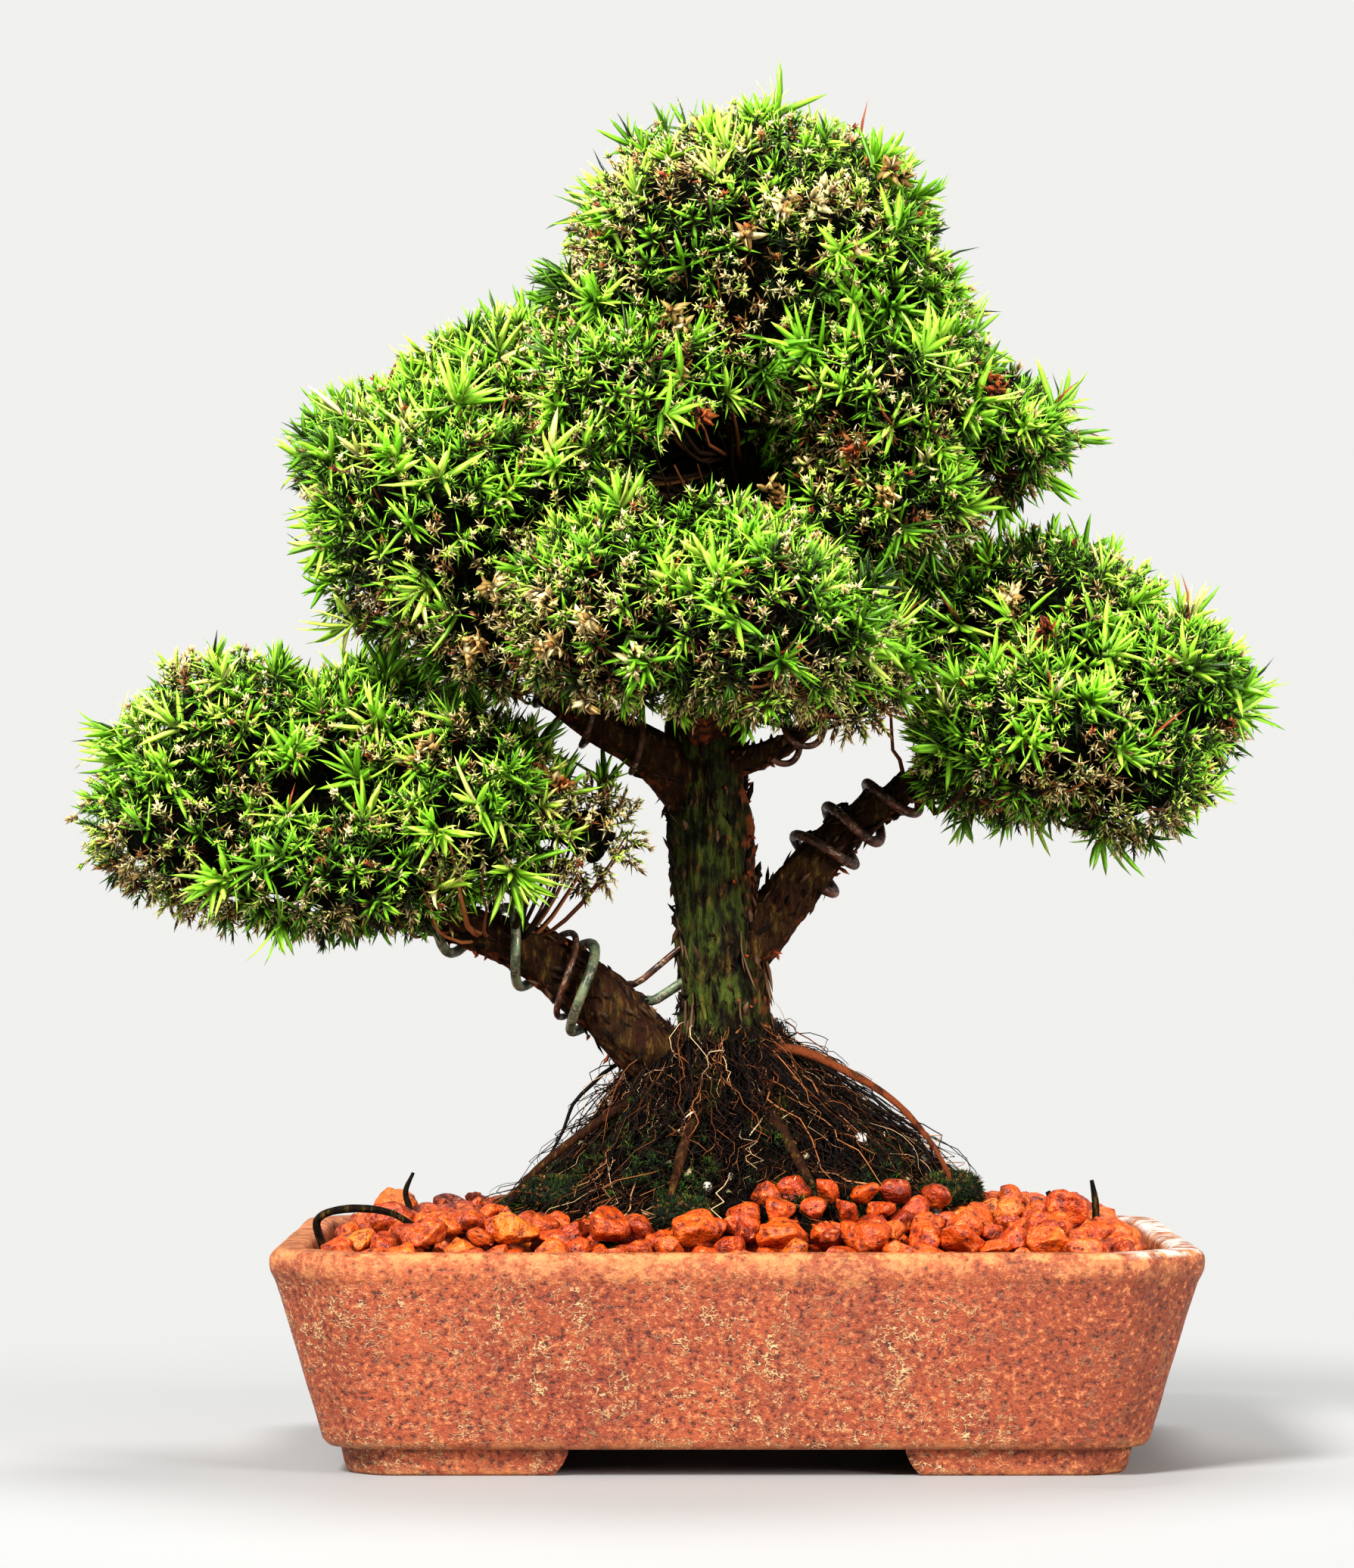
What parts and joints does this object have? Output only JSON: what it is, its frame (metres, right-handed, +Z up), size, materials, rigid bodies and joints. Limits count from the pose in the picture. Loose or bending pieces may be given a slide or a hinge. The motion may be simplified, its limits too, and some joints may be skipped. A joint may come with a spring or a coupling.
{
  "type": "potted bonsai tree",
  "caption": "Small needle-leaved bonsai with clipped foliage pads and training wire, growing from a root mound in gravel in a rectangular unglazed clay pot with canted corners and bracket feet.",
  "frame": {"origin": "on the surface the pot stands on, under the middle of the whole object's outline", "axes": "+Z up along the trunk, +X to the right along the pot's long side, -Y towards the viewing side"},
  "size_m": [0.3078, 0.194, 0.3567],
  "materials": {
    "fired_clay": "unglazed, worn, slight sheen",
    "screen_plastic": "moulded",
    "steel_wire": "drawn",
    "potting_soil": "crumbly, damp",
    "matted_roots": "fibrous, rough",
    "red_gravel": "waxed, glossy",
    "moss": "soft, tufted",
    "dark_bark_chip": "damp, slightly glossy",
    "dry_twig": "dry",
    "bark": "fibrous, peeling, mossy",
    "green_wire": "weathered",
    "brown_wire": "anodised, satin",
    "needles": "leafy, slightly waxy"
  },
  "bodies": {
    "root": {"bark_chip": "dark_bark_chip", "drain_screen_left": "screen_plastic", "drain_screen_right": "screen_plastic", "foliage_apex": "needles", "foliage_back": "needles", "foliage_front": "needles", "foliage_lower_left": "needles", "foliage_lower_right": "needles", "foliage_middle_left": "needles", "foliage_upper_left": "needles", "foliage_upper_right": "needles", "gravel_bed": "red_gravel", "moss_front": "moss", "moss_left": "moss", "moss_right": "moss", "pot": "fired_clay", "potting_soil": "potting_soil", "root_mound": "matted_roots", "screen_clip_left": "steel_wire", "screen_clip_right": "steel_wire", "stone_front_1": "red_gravel", "stone_front_2": "red_gravel", "stone_front_3": "red_gravel", "stone_front_4": "red_gravel", "stone_front_5": "red_gravel", "stone_front_6": "red_gravel", "stone_front_7": "red_gravel", "stone_front_8": "red_gravel", "stone_side_1": "red_gravel", "stone_side_2": "red_gravel", "stone_side_3": "red_gravel", "stone_side_4": "red_gravel", "stray_root": "dry_twig", "trunk_and_branches": "bark", "twig_left": "dry_twig", "twig_right": "dry_twig", "twig_right_short": "dry_twig", "wire_left_branch_thick": "green_wire", "wire_left_branch_thin": "brown_wire", "wire_middle_branch": "brown_wire", "wire_right_branch": "brown_wire", "wire_right_spur": "brown_wire"}
  },
  "joints": []
}
